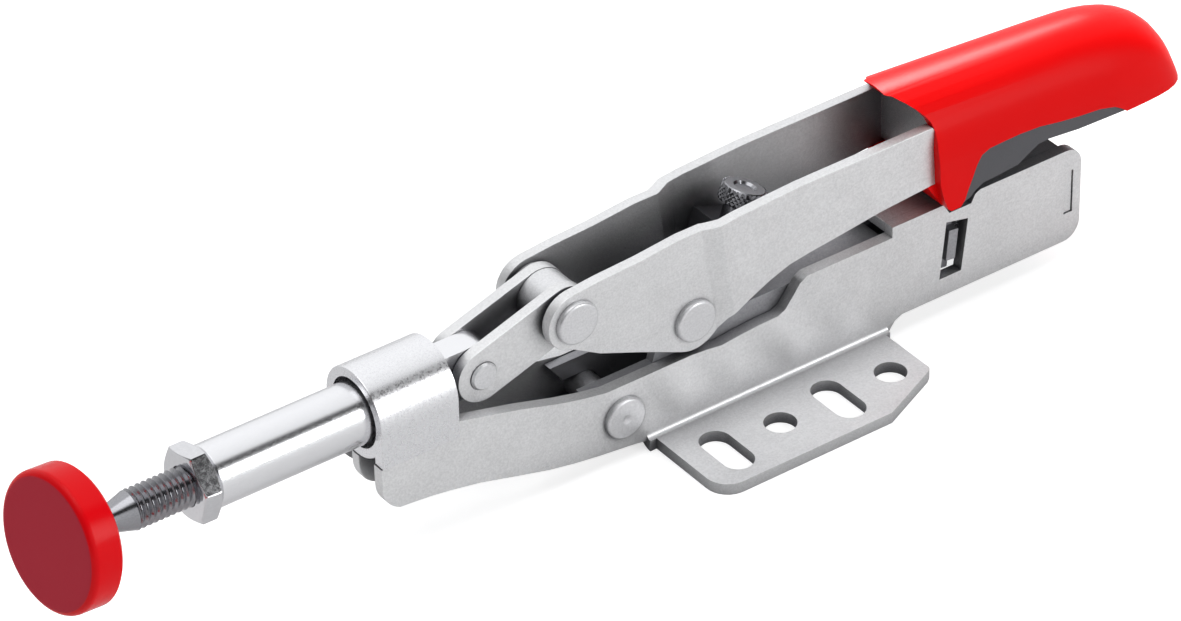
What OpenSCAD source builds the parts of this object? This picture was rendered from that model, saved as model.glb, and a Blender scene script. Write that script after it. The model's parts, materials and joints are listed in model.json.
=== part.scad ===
// Push-pull toggle clamp with a flanged base, a self-adjusting carriage and a two-part grip.
// X runs from the pad (low) to the grip (high), Z is up, and Y = 0 is the middle plane.
// The origin is the centre of the round holes, on the underside of the flange.

/* [Frame] */
// Thickness of the side plates and of the flange
plate_t = 2.5; // [2:0.1:3]
// Gap between the two side plates
frame_gap = 12.7; // [12.6:0.1:13.4]
// Inside radius of the flange bend
bend_r = 1.0; // [0.6:0.1:1.5]
// Front edge of the side plates
plate_front_x = -97.3; // [-99:0.1:-96]
// Rear edge of the side plates
plate_rear_x = 70.6; // [70:0.1:74]
// Radius of the plates' rear corners
rear_corner_r = 4; // [2:0.5:5]
// Top edge of the plates in the valley under the handle
valley_z = 17.4; // [16.5:0.1:17.6]
// Top edge of the plates under the bridge
shelf_z = 24.0; // [23.5:0.1:24.5]
// Bottom edge of the plates behind the flange
tail_z = 4.7; // [3.5:0.1:6]

/* [Flange] */
// Front edge of the flange
flange_front_x = -35.4; // [-37:0.1:-34]
// Rear edge of the flange
flange_rear_x = 20.5; // [19.5:0.1:22]
// Distance of the flange's outer edge from the middle plane
flange_half_w = 30.8; // [30:0.1:34]
// Radius of the flange's front corners
flange_corner_r = 5; // [2:0.5:8]
// Length of the clip across the flange's rear corners, along X
flange_clip_x = 15; // [8:0.5:18]
// Length of the clip across the flange's rear corners, along Y
flange_clip_y = 6.2; // [3:0.1:7]
// Distance between neighbouring holes along X
hole_pitch = 13.5; // [12:0.1:14]
// Diameter of the fixing holes and width of the slots
hole_d = 6.6; // [5.5:0.1:7]
// Distance of the round holes from the flange's outer edge
hole_edge = 10.6; // [9.5:0.1:11.5]
// Distance of the slots' middles from the flange's outer edge
slot_edge = 9.8; // [9.2:0.1:10.6]
// Length of the slots, end to end
slot_l = 13.6; // [10:0.1:14.4]

/* [Collar and plunger] */
// Height of the plunger's axis
axis_z = 30.5; // [30.3:0.1:31]
// Diameter of the plunger rod
rod_d = 12.5; // [12:0.1:12.5]
// Front end of the plunger rod
rod_front_x = -130.1; // [-134:0.1:-126]
// Outer diameter of the collar
collar_d = 18.4; // [18:0.1:18.8]
// Bore of the collar, which holds the bush
collar_bore_d = 14.2; // [13.8:0.1:14.4]
// Length of the collar
collar_l = 17.3; // [15:0.1:17.6]
// Lower end of the collar's legs, where they stand on the plates
leg_z = 22.4; // [21.8:0.1:23]
// How far the collar's legs stand out from the plates
leg_proud = 0.3; // [0:0.1:0.5]
// How far the bush lies behind the collar's front face
bush_recess = 1.6; // [0.5:0.1:3]
// Thickness of the keel plate under the collar
keel_t = 2.4; // [2:0.1:3]
// Thickness of the plunger's tongue
tongue_t = 5.4; // [5:0.1:5.4]
// Radius of the tongue's rounded end
tongue_r = 5.5; // [5:0.1:5.8]

/* [Spindle and pad] */
// Diameter of the spindle's thread
thread_d = 8; // [6:0.5:8]
// Where the threaded part ends in front and the cone starts
thread_front_x = -145.8; // [-148:0.1:-142]
// Depth of the threaded hole in the plunger rod
thread_depth = 24; // [15:1:30]
// Diameter of the cone's small end and of the neck
neck_d = 5.4; // [4.5:0.1:5.6]
// Diameter of the ball on the spindle
ball_d = 7.4; // [6.6:0.1:7.6]
// Width of the lock nut across its flats
nut_af = 13.5; // [13:0.5:14]
// Thickness of the lock nut
nut_t = 4; // [3:0.1:5]
// Diameter of the pad
pad_d = 27.6; // [24:0.1:30]
// Front face of the pad
pad_front_x = -163.6; // [-165:0.1:-163]
// Thickness of the pad at its rim
pad_t = 6.8; // [6.4:0.1:7.4]
// How far the pad hangs over on its ball
pad_lean = 10.3; // [0:0.1:11]
// Direction in which the pad hangs over, from level towards upright
pad_lean_turn = 37.3; // [0:0.1:60]
// Wall of the pad's cap, in front and round the rim
cap_wall = 2.2; // [1.5:0.1:2.6]
// Radius of the round edge of the pad's front face
cap_round = 1.4; // [0.5:0.1:2]

/* [Handle] */
// Thickness of the handle's cheeks
cheek_t = 2.3; // [2:0.1:2.5]
// Gap between the cheeks at the front
cheek_gap = 12.68; // [12.6:0.02:13]
// Sideways step of each cheek at the joggle
joggle = 1.52; // [1:0.02:2]
// Gap between the pivot rivet's head and the joggle
joggle_gap = 0.2; // [0.1:0.1:2]
// Length of the joggle
joggle_l = 3.6; // [3:0.1:5]
// Radius of the cheeks' front end
cheek_end_r = 6.2; // [5.8:0.1:6.2]
// Radius of the cheeks round the pivot
cheek_boss_r = 7.1; // [6.5:0.1:7.2]
// Front face of the cross web inside the grip
web_x = 33; // [32:0.5:36]
// Rear end of the cheeks inside the grip
cheek_rear_x = 80; // [70:1:82]
// Place of the front rivet, along X
front_x = -52.7; // [-53:0.1:-52.4]
// Height of the front rivet
front_z = 36.7; // [36.4:0.1:37]
// Place of the handle's pivot, along X
pivot_x = -25.3; // [-25.8:0.1:-25]
// Height of the handle's pivot
pivot_z = 25.3; // [25.1:0.1:25.6]
// Place of the plunger's pin, along X
pin_x = -71.5; // [-72:0.1:-71]
// Diameter of the plunger's pin
pin_d = 5.8; // [5:0.1:6]
// Diameter of the rivets' shanks
shank_d = 6; // [5:0.1:6.2]
// Diameter of the rivets' heads
head_d = 9; // [8.4:0.1:9.4]
// Height of the rivets' heads
head_t = 1.3; // [1:0.1:1.6]
// Radius of the rounded edge of the rivets' heads
head_round = 0.6; // [0.3:0.1:0.9]

/* [Links] */
// Radius of the links' ends
link_r = 5.7; // [5.2:0.1:5.8]
// Thickness of the links
link_t = 2.4; // [2:0.1:2.4]
// Thickness of the washers between links and cheeks
washer_t = 0.9; // [0.5:0.05:0.95]
// Extra length of the hole in the tongue
tongue_slot = 1.4; // [1.3:0.1:1.8]

/* [Carriage and brake] */
// Thickness of the carriage's walls and web
carriage_t = 2; // [1.5:0.1:2.4]
// Top of the carriage's walls in front of the pivot
carriage_web_z = 17.2; // [16:0.1:17.4]
// Top of the carriage's web behind the pivot
carriage_rear_z = 21.8; // [21:0.1:22.2]
// Front end of the carriage's walls at their top
carriage_front_x = -50; // [-51:0.5:-48]
// Rear end of the carriage
carriage_rear_x = 23.4; // [16:0.2:23.4]
// Radius of the carriage's ears
ear_r = 5.9; // [5.5:0.1:6]
// Travel of the carriage
travel = 12.5; // [8:0.5:12.5]
// Place of the base rivet, along X
base_x = -42.3; // [-43:0.1:-41.5]
// Height of the base rivet
base_z = 10.2; // [9.8:0.1:10.8]
// Width and height of the slide bar
bar_w = 6.4; // [5:0.2:6.4]
// Height of the slide bar's middle
bar_z = 16.2; // [15.8:0.1:16.4]
// Rear end of the slide bar
bar_rear_x = 52; // [46:0.5:52]
// Thickness of the brake plate
brake_t = 2.4; // [2:0.1:2.6]
// Tilt of the brake plate
brake_tilt = 6; // [3:0.5:8]
// Place of the brake plate, along X, at the bar's height
brake_x = 38.2; // [37.5:0.1:39]
// Diameter of the spring's wire
wire_d = 1.1; // [0.9:0.1:1.2]
// Turns of the spring
spring_turns = 9; // [6:1:11]

/* [Adjusting screw] */
// Place of the adjusting screw, along X
screw_x = -6.4; // [-8:0.1:-5]
// Top of the screw's head, in its middle
screw_top_z = 43.5; // [42:0.1:44.5]
// How far the screw leans, with its head towards the grip
screw_lean = 21; // [16:0.5:23]
// Diameter of the knurled head
knob_d = 9.3; // [8.5:0.1:10]
// Height of the knurled head
knob_h = 6.5; // [5.5:0.1:7]
// Grooves round the knurled head
knurls = 24; // [16:1:30]
// Diameter of the screw
screw_d = 6; // [5:0.1:6]
// Height of the block that holds the screw
block_h = 6; // [5:0.5:6.5]

/* [Grip] */
// Half of the grip's width
grip_half_w = 12; // [11.8:0.1:13]
// Rear end of the grip
grip_rear_x = 98; // [97:0.1:104]
// Height of the grip's top at its front
grip_top_z = 53.9; // [52.8:0.1:54.5]
// Height of the arched top above the grip's straight sides
grip_arch = 14.4; // [12:0.1:14.8]
// Lower edge of the grip's front tip
grip_tip_z = 27; // [26.8:0.1:27.6]
// Lower edge of the grip behind the insert
grip_tail_z = 32.3; // [31.5:0.1:33]
// Wall of the shell at its open mouth
grip_wall = 1.5; // [1.2:0.1:2]
// How far the insert lies below the shell's surface
insert_step = 0.5; // [0.2:0.1:0.8]

/* [Hidden] */
$fn = 64;

// Clearances: a shaft that turns or slides, flat faces that pass, and a cut that runs right through
run_gap = 0.05;
side_gap = 0.15;
over = 1;
seat_gap = 0.02;

plate_in = frame_gap / 2;
plate_out = plate_in + plate_t;
collar_front_x = plate_front_x + 0.2;
collar_rear_x = collar_front_x + collar_l;
bridge_t = plate_t - 0.1;
bridge_top_z = shelf_z + bridge_t;
bridge_front_x = 22.7;
notch_front_x = 35.4;
notch_rear_x = 42.8;
cross_t = 2;
cross_x = plate_rear_x - 4.1;
tab_low_z = 11.4;
tab_top_z = 21.2;
pad_rear_x = pad_front_x + pad_t;
ball_x = pad_rear_x - 0.2;
hole_y = flange_half_w - hole_edge;
slot_y = flange_half_w - slot_edge;
cheek_in = cheek_gap / 2;
cheek_out = cheek_in + cheek_t;
rear_in = cheek_in + joggle;
rear_out = cheek_out + joggle;
joggle_tilt = 8;
joggle_shift = 0.8;
joggle_x = pivot_x + (head_d / 2 + joggle_gap) / cos(joggle_tilt) + joggle_shift;
link_in = tongue_t / 2 + side_gap / 2;
link_out = link_in + link_t;
carriage_out = plate_in - side_gap;
carriage_in = carriage_out - carriage_t;
bar_r = bar_w / 2;
carriage_step_x = -18;
brake_up = 7;
brake_side = 4;
web_low_z = 34.4;
arch_steps = 20;
drop_l = 29.7;
drop_x = grip_rear_x - drop_l;
drop_low_z = 22.6;
grip_fall = 0.071;
plan_power = 3.7;
profile_power = 3.1;
plan_share = 0.875;
grip_front_x = 22;
wide = grip_half_w + 5;

function arc(c, r, from, to, steps = 8) =
    [for (i = [0:steps]) let (a = from + (to - from) * i / steps) c + r * [cos(a), sin(a)]];
function mix(a, b, t) = a + (b - a) * t;

// A flat outline in X and Z, made thick along Y
module along_y(low, high) {
    translate([0, high, 0]) rotate([90, 0, 0]) linear_extrude(high - low) children();
}

// A round bar along Y through a point given as X and Z
module pin_y(at, d, low, high) {
    translate([at[0], high, at[1]]) rotate([90, 0, 0]) cylinder(d = d, h = high - low);
}

// A round bar along X on the plunger's axis
module bar_x(d, low, high) {
    translate([low, 0, axis_z]) rotate([0, 90, 0]) cylinder(d = d, h = high - low);
}

// A profile of radius and place, turned round the plunger's axis
module turned_x() {
    translate([0, 0, axis_z]) rotate([0, 90, 0]) rotate_extrude() children();
}

module both_sides() {
    children();
    mirror([0, 1, 0]) children();
}

// A rivet across the clamp with a rounded head outside each wall
module rivet(at, d, wall, dimple) {
    profile = concat([[0, 0], [d / 2, 0], [d / 2, wall], [head_d / 2, wall]],
        arc([head_d / 2 - head_round, wall + head_t - head_round], head_round, 0, 90, 4),
        [[dimple, wall + head_t], [0, wall + head_t - dimple / 3]]);
    both_sides()
        translate([at[0], 0, at[1]]) rotate([90, 0, 0]) rotate_extrude() polygon(profile);
}

// Side plates

// The far plate's front corner is rounder than the near one's
module plate_outline(front_r) {
    flange_low = flange_front_x - 1.5;
    rear_low = flange_rear_x + 1.2;
    polygon(concat(
        [[plate_front_x, leg_z]],
        arc([plate_front_x + front_r, 11.9 + front_r], front_r, 180, 248),
        [[-86.9, 11.7], [-82.4, 11.0], [-75.6, 9.7], [-66.5, 7.2], [-59.6, 5.4], [-54, 4.3],
            [-48, 3.4], [-40.9, 2.6], [flange_low, 2.0], [flange_low, 0], [rear_low, 0],
            [rear_low, 1.1], [22.5, 2.4], [23.7, 3.9], [25.5, tail_z]],
        arc([plate_rear_x - rear_corner_r, tail_z + rear_corner_r], rear_corner_r, 270, 360),
        arc([plate_rear_x - rear_corner_r, bridge_top_z - rear_corner_r], rear_corner_r, 0, 90),
        [[notch_rear_x + 1.8, bridge_top_z], [notch_rear_x + 0.6, bridge_top_z - 0.6],
            [notch_rear_x - 0.4, shelf_z], [notch_front_x + 1.5, shelf_z],
            [notch_front_x, bridge_top_z], [bridge_front_x, bridge_top_z],
            [bridge_front_x, shelf_z], [1.8, shelf_z], [0, 22.9], [-1.2, 21.3], [-2.4, 19.8],
            [-3.6, 18.3], [-5.4, valley_z + 0.1], [-10, valley_z], [-15, valley_z - 0.4],
            [-19, valley_z - 0.8], [-22.5, valley_z - 0.3], [-26, valley_z],
            [-46, valley_z], [-51.1, 18.3], [-56.9, 19.7], [-66, 22.4],
            [collar_rear_x, 25.9], [collar_rear_x, leg_z]]));
}

module plate_window() {
    polygon([[36.2, 22.0], [41.7, 20.8], [40.2, 9.0], [34.7, 9.0]]);
}

module flange_outline() {
    front = flange_front_x;
    rear = flange_rear_x;
    edge = flange_half_w;
    inner = plate_out + bend_r;
    polygon(concat(
        [[front, inner]],
        arc([front + flange_corner_r, edge - flange_corner_r], flange_corner_r, 180, 90),
        [[rear - flange_clip_x, edge], [rear - 1.2, edge - flange_clip_y],
            [rear, edge - flange_clip_y - 1], [rear, inner]]));
}

module flange_holes() {
    for (x = [-hole_pitch, hole_pitch])
        translate([x, hole_y, -over]) cylinder(d = hole_d, h = plate_t + 2 * over);
    half = (slot_l - hole_d) / 2;
    for (x = [-2 * hole_pitch, 0]) {
        translate([x - hole_d / 2, slot_y - half, -over])
            cube([hole_d, 2 * half, plate_t + 2 * over]);
        for (side = [-half, half])
            translate([x, slot_y + side, -over]) cylinder(d = hole_d, h = plate_t + 2 * over);
    }
}

module side_plate(front_r) {
    low_x = flange_front_x - 1.5;
    long = flange_rear_x + 1.2 - low_x;
    bend_y = plate_out + bend_r;
    bend_z = plate_t + bend_r;
    outer_r = plate_t + bend_r;
    difference() {
        along_y(plate_in, plate_out) difference() {
            plate_outline(front_r);
            plate_window();
            translate([cross_x - 0.1, tab_low_z - 0.1])
                square([cross_t + 0.2, tab_top_z - tab_low_z + 0.2]);
        }
        pin_y([base_x, base_z], shank_d, 0, plate_out + over);
        translate([low_x, 0, -over]) cube([long, plate_out + over, bend_z + over]);
    }
    intersection() {
        translate([low_x, 0, 0]) cube([long, bend_y, bend_z]);
        difference() {
            translate([low_x, bend_y, bend_z]) rotate([0, 90, 0]) cylinder(r = outer_r, h = long);
            translate([low_x - over, bend_y, bend_z]) rotate([0, 90, 0])
                cylinder(r = bend_r, h = long + 2 * over);
        }
    }
    difference() {
        linear_extrude(plate_t) flange_outline();
        flange_holes();
    }
}

module side_plate_right() {
    color("silver") side_plate(10.5);
}

module side_plate_left() {
    color("silver") mirror([0, 1, 0]) side_plate(6);
}

module top_bridge() {
    color("silver") translate([bridge_front_x, -plate_in, shelf_z])
        cube([plate_rear_x - rear_corner_r - bridge_front_x, frame_gap, bridge_t]);
}

module rear_cross_plate() {
    color("silver") {
        translate([cross_x, -plate_in, tail_z + 3])
            cube([cross_t, frame_gap, shelf_z - tail_z - 3]);
        translate([cross_x, -plate_out + 0.3, tab_low_z])
            cube([cross_t, 2 * plate_out - 0.6, tab_top_z - tab_low_z]);
    }
}

// Collar, bush and keel

module guide_collar() {
    leg_out = plate_out + leg_proud;
    color("gainsboro") difference() {
        union() {
            bar_x(collar_d, collar_front_x, collar_rear_x);
            for (side = [-1, 1])
                translate([collar_front_x, side > 0 ? plate_in : -leg_out, leg_z])
                    cube([collar_l, leg_out - plate_in, axis_z - leg_z]);
        }
        bar_x(collar_bore_d, collar_front_x - over, collar_rear_x + over);
    }
}

module guide_bush() {
    color("dimgray") difference() {
        bar_x(collar_bore_d, collar_front_x + bush_recess, collar_rear_x - bush_recess);
        bar_x(rod_d + 2 * run_gap, collar_front_x, collar_rear_x);
    }
}

module front_keel() {
    color("silver") difference() {
        along_y(-keel_t / 2, keel_t / 2) intersection() {
            translate([0, 1.2]) plate_outline(6);
            translate([plate_front_x, 0]) square([collar_l + 0.2, leg_z]);
        }
        bar_x(collar_d, plate_front_x - over, collar_rear_x + over);
    }
}

module base_rivet() {
    color("gainsboro") rivet([base_x, base_z], shank_d, plate_out, 1.2);
}

// Plunger, spindle and pad

module plunger() {
    shoulder_x = pin_x - 8;
    color("gainsboro") difference() {
        union() {
            turned_x() polygon([[0, rod_front_x], [rod_d / 2 - 0.6, rod_front_x],
                [rod_d / 2, rod_front_x + 0.6], [rod_d / 2, shoulder_x - 1],
                [rod_d / 2 - 1, shoulder_x], [0, shoulder_x]]);
            along_y(-tongue_t / 2, tongue_t / 2) union() {
                translate([pin_x, axis_z]) circle(r = tongue_r);
                translate([shoulder_x - 1, axis_z - tongue_r])
                    square([pin_x - shoulder_x + 1, 2 * tongue_r]);
            }
        }
        bar_x(thread_d + 2 * run_gap, rod_front_x - over, rod_front_x + thread_depth);
        for (shift = [-tongue_slot, 0])
            pin_y([pin_x + shift, axis_z], pin_d + 0.2, -tongue_t, tongue_t);
        translate([pin_x - tongue_slot, -tongue_t, axis_z - pin_d / 2 - 0.1])
            cube([tongue_slot, 2 * tongue_t, pin_d + 0.2]);
    }
}

module spindle() {
    neck_x = thread_front_x - 4.2;
    ball_r = ball_d / 2;
    neck_angle = acos(neck_d / ball_d);
    rear_x = rod_front_x + thread_depth - 1;
    color("gainsboro") turned_x() polygon(concat(
        arc([0, ball_x], ball_r, -90, neck_angle, 16),
        [[neck_d / 2, neck_x], [thread_d / 2, thread_front_x], [thread_d / 2, rear_x - 1],
            [thread_d / 2 - 1, rear_x], [0, rear_x]]));
}

module lock_nut() {
    rear = rod_front_x - 0.1;
    corner = nut_af / sqrt(3);
    color("gainsboro") difference() {
        intersection() {
            translate([rear - nut_t, 0, axis_z]) rotate([0, 90, 0]) rotate([0, 0, 18])
                cylinder(r = corner, h = nut_t, $fn = 6);
            turned_x() polygon([[0, rear - nut_t], [nut_af / 2 - 0.1, rear - nut_t],
                [corner + 0.1, rear - nut_t + 0.55], [corner + 0.1, rear - 0.55],
                [nut_af / 2 - 0.1, rear], [0, rear]]);
        }
        bar_x(thread_d + 2 * run_gap, rear - nut_t - over, rear + over);
    }
}

// The pad hangs over a little on the spindle's ball
module hanging() {
    translate([ball_x, 0, axis_z])
        rotate(a = pad_lean, v = [0, cos(pad_lean_turn), sin(pad_lean_turn)])
            translate([-ball_x, 0, -axis_z]) children();
}

module pad_plate() {
    rear = pad_rear_x - 1;
    boss_x = ball_x + ball_d / 2 - 0.9;
    color("silver") hanging() difference() {
        turned_x() polygon([[0, pad_front_x + cap_wall], [pad_d / 2 - cap_wall, pad_front_x + cap_wall],
            [pad_d / 2 - cap_wall, rear], [6.4, rear], [5.2, boss_x], [0, boss_x]]);
        translate([ball_x, 0, axis_z]) sphere(d = ball_d + 2 * run_gap);
        turned_x() polygon([[0, ball_x], [neck_d / 2 + 0.2, ball_x],
            [neck_d / 2 + 1, boss_x + over], [0, boss_x + over]]);
    }
}

module pad_cap() {
    r = pad_d / 2;
    inner = r - cap_wall;
    color("red") hanging() turned_x() polygon(concat(
        [[0, pad_front_x]],
        arc([r - cap_round, pad_front_x + cap_round], cap_round, -90, 0, 6),
        [[r, pad_rear_x - 0.6], [r - 0.6, pad_rear_x], [inner, pad_rear_x],
            [inner, pad_front_x + cap_wall], [0, pad_front_x + cap_wall]]));
}

// Links and their pins

module link_plate() {
    lean = atan2(front_z - axis_z, front_x - pin_x);
    along_y(link_in, link_out) difference() {
        polygon(concat(arc([front_x, front_z], link_r, lean - 90, lean + 90, 18),
            arc([pin_x, axis_z], link_r, lean + 90, lean + 270, 18)));
        translate([pin_x, axis_z]) circle(d = pin_d);
        translate([front_x, front_z]) circle(d = shank_d + 2 * run_gap);
    }
}

module link_right() {
    color("silver") link_plate();
}

module link_left() {
    color("silver") mirror([0, 1, 0]) link_plate();
}

module plunger_pin() {
    reach = link_out + 0.6;
    color("gainsboro") both_sides() translate([pin_x, 0, axis_z]) rotate([90, 0, 0])
        rotate_extrude() polygon([[0, 0], [pin_d / 2, 0], [pin_d / 2, reach - 0.4],
            [pin_d / 2 - 0.4, reach], [0, reach]]);
}

module link_spacer() {
    color("gainsboro") difference() {
        pin_y([front_x, front_z], 2 * link_r - 0.4, -link_in, link_in);
        pin_y([front_x, front_z], shank_d + 2 * run_gap, -link_in - over, link_in + over);
    }
}

module front_rivet() {
    color("gainsboro") rivet([front_x, front_z], shank_d, cheek_out, 0);
}

module link_washers() {
    low = cheek_in - washer_t;
    color("gainsboro") both_sides() difference() {
        pin_y([front_x, front_z], head_d + 1, low, cheek_in);
        pin_y([front_x, front_z], shank_d, low - over, cheek_in + over);
    }
}

// Handle

module cheek_outline() {
    polygon(concat(
        arc([front_x, front_z], cheek_end_r, 97, 262, 14),
        [[-47.3, 26.9], [-38, 23.1]],
        arc([pivot_x, pivot_z], cheek_boss_r, 246, 316, 8),
        [[-17.8, 22.9], [-13, 25.5], [-8.2, 27.8], [-3.4, 29.5], [1.9, 30.3], [8.7, 31.1],
            [18.5, 32.4], [32.8, 33.5], [60, web_low_z], [cheek_rear_x, web_low_z],
            [cheek_rear_x, web_low_z + 4], [37.5, web_low_z + 8], [33.4, web_low_z + 10.2],
            [31.2, 46.8], [-1, 46.6], [-15.4, 45.8], [-21.8, 45], [-28, 45], [-37.7, 44],
            [-47, 43.5]]));
}

module cheek_plan() {
    lean = joggle_x + joggle_l;
    front = front_x - head_d;
    rear = cheek_rear_x + head_d;
    polygon([[front, cheek_in], [joggle_x, cheek_in], [lean, rear_in], [rear, rear_in],
        [rear, rear_out], [lean - joggle_shift, rear_out], [joggle_x - joggle_shift, cheek_out],
        [front, cheek_out]]);
}

module handle_lever() {
    tall = 40;
    round_y = rear_in - 3;
    color("silver") {
        difference() {
            intersection() {
                along_y(-rear_out - over, rear_out + over) cheek_outline();
                both_sides() translate([joggle_x, 0, pivot_z]) rotate([0, -joggle_tilt, 0])
                    translate([-joggle_x, 0, -tall]) linear_extrude(2 * tall) cheek_plan();
            }
            pin_y([front_x, front_z], shank_d, -cheek_out - over, cheek_out + over);
            pin_y([pivot_x, pivot_z], shank_d, -cheek_out - over, cheek_out + over);
        }
        translate([web_x, 0, 0]) rotate([90, 0, 90]) linear_extrude(cheek_t)
            polygon([[-rear_in, web_low_z], [rear_in, web_low_z], [rear_in, 46.2], [round_y, 48.4],
                [-round_y, 48.4], [-rear_in, 46.2]]);
    }
}

module pivot_rivet() {
    color("gainsboro") rivet([pivot_x, pivot_z], shank_d, cheek_out, 0);
}

// Carriage, bar and brake

module carriage_wall() {
    slot_r = shank_d / 2 + run_gap;
    slot_front = base_x - travel - 0.4;
    fork_x = slot_front - slot_r - 1.7;
    fork_z = base_z - slot_r;
    difference() {
        polygon(concat(
            [[fork_x, fork_z], [fork_x, 6], [fork_x + 1.5, 5.2], [-48, 4.2], [-30, 4.2],
                [-20, 5], [-12, 11.6], [carriage_rear_x, 11.6], [carriage_rear_x, carriage_rear_z],
                [carriage_step_x, carriage_rear_z], [-19.4, 24]],
            arc([pivot_x, pivot_z], ear_r, -10, 190, 12),
            [[-33.5, carriage_web_z], [carriage_front_x, carriage_web_z],
                [carriage_front_x + 2.7, base_z + slot_r + 0.4], [carriage_front_x + 3, fork_z]]));
        translate([pivot_x, pivot_z]) circle(d = shank_d + 2 * run_gap);
        translate([base_x + 0.2, base_z]) circle(r = slot_r);
        translate([fork_x - over, base_z - slot_r])
            square([base_x + 0.2 - fork_x + over, 2 * slot_r]);
    }
}

module carriage_channel() {
    color("silver") {
        both_sides() along_y(carriage_in, carriage_out) carriage_wall();
        translate([carriage_front_x + 4, -carriage_out, 4.6])
            cube([22, 2 * carriage_out, carriage_t]);
        translate([carriage_step_x, -carriage_out, carriage_rear_z - carriage_t])
            cube([carriage_rear_x - carriage_step_x, 2 * carriage_out, carriage_t]);
    }
}

module slide_bar() {
    start = -6;
    color("gainsboro") {
        translate([start, -bar_r, bar_z - bar_r])
            cube([bar_rear_x - start, bar_w, bar_w]);
        translate([start, -carriage_in, bar_z - bar_r])
            cube([8, 2 * carriage_in, carriage_rear_z - carriage_t - bar_z + bar_r]);
    }
}

module brake_plate() {
    hole = bar_w + 0.7;
    color("dimgray") difference() {
        translate([brake_x, 0, bar_z]) rotate([0, brake_tilt, 0]) {
            translate([-brake_t / 2, -plate_in, -brake_up])
                cube([brake_t, frame_gap, 2 * brake_up]);
            translate([-brake_t / 2, -plate_out + 0.4, -brake_side])
                cube([brake_t, 2 * plate_out - 0.8, 2 * brake_side - 1]);
        }
        translate([brake_x - brake_up, -hole / 2, bar_z - hole / 2])
            cube([2 * brake_up, hole, hole]);
    }
}

// A round wire wound as a helix round the slide bar, between the brake plate and the cross plate
module brake_spring() {
    coil_r = plate_in - 0.45 - wire_d / 2;
    sides = 8;
    steps = spring_turns * 16;
    start = brake_x + brake_t / 2 / cos(brake_tilt) + brake_up * tan(brake_tilt) + wire_d / 2 + 0.1;
    pitch = (cross_x - 0.1 - wire_d / 2 - start) / steps;
    points = [for (i = [0:steps]) for (j = [0:sides - 1])
        let (a = i * 22.5, b = j * 360 / sides, r = coil_r + wire_d / 2 * cos(b))
            [start + i * pitch + wire_d / 2 * sin(b), r * cos(a), bar_z + r * sin(a)]];
    walls = [for (i = [0:steps - 1]) for (j = [0:sides - 1])
        let (k = (j + 1) % sides)
            [i * sides + j, i * sides + k, (i + 1) * sides + k, (i + 1) * sides + j]];
    ends = [[for (j = [sides - 1:-1:0]) j], [for (j = [0:sides - 1]) steps * sides + j]];
    color("silver") polyhedron(points, concat(walls, ends), convexity = 6);
}

// Adjusting screw

// Upright parts below the head's top, leaning as the screw does
module leaning() {
    translate([screw_x, 0, screw_top_z]) rotate([0, screw_lean, 0]) children();
}

module screw_block() {
    top = -knob_h - 1.5;
    color("gainsboro") leaning() difference() {
        translate([-4, -rear_in, top - block_h]) cube([8, 2 * rear_in, block_h]);
        translate([0, 0, top - block_h - over])
            cylinder(d = screw_d + 2 * run_gap, h = block_h + 2 * over);
    }
}

module adjusting_screw() {
    drop = screw_top_z - carriage_rear_z - 0.3 - screw_d / 2 * sin(screw_lean);
    length = drop / cos(screw_lean);
    color("gainsboro") leaning() {
        difference() {
            translate([0, 0, -knob_h]) cylinder(d = knob_d, h = knob_h);
            for (i = [0:knurls - 1]) rotate(i * 360 / knurls)
                translate([knob_d / 2 + 0.25, 0, -knob_h - over]) rotate(45)
                    translate([-0.4, -0.4]) cube([0.8, 0.8, knob_h + 2 * over]);
        }
        translate([0, 0, -length]) cylinder(d = screw_d, h = length - knob_h + 0.5);
    }
}

// Grip: rings across the clamp, each an arch that stands on straight sides

function fall(x) = max(0, (x - drop_x) / drop_l);
function grip_line(x) = grip_top_z - grip_fall * (x - 25);
function grip_top(x, inset) = drop_low_z
    + (grip_line(x) - inset - drop_low_z)
    * pow(max(0, 1 - pow(fall(x), profile_power)), 1 / profile_power);
function grip_w(x, inset) =
    (grip_half_w - inset) * pow(1 - pow(plan_share * fall(x), plan_power), 1 / plan_power);
function grip_ring(x, inset) =
    let (top = grip_top(x, inset), w = grip_w(x, inset), h = min(grip_arch, top - drop_low_z + 0.1))
        concat([for (j = [0:arch_steps]) let (a = j * 180 / arch_steps)
            [x, w * cos(a), top - h + h * sin(a)]], [[x, -w, drop_low_z - 2], [x, w, drop_low_z - 2]]);

module grip_loft(inset) {
    stations = concat([grip_front_x, drop_x], [for (a = [14:7:84]) drop_x + drop_l * sin(a)],
        [grip_rear_x - 0.02]);
    last = len(stations) - 1;
    n = arch_steps + 3;
    walls = [for (i = [0:last - 1]) for (j = [0:n - 1])
        [i * n + j, i * n + (j + 1) % n, (i + 1) * n + (j + 1) % n, (i + 1) * n + j]];
    ends = [[for (j = [n - 1:-1:0]) j], [for (j = [0:n - 1]) last * n + j]];
    polyhedron([for (x = stations) each grip_ring(x, inset)], concat(walls, ends), convexity = 4);
}

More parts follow.
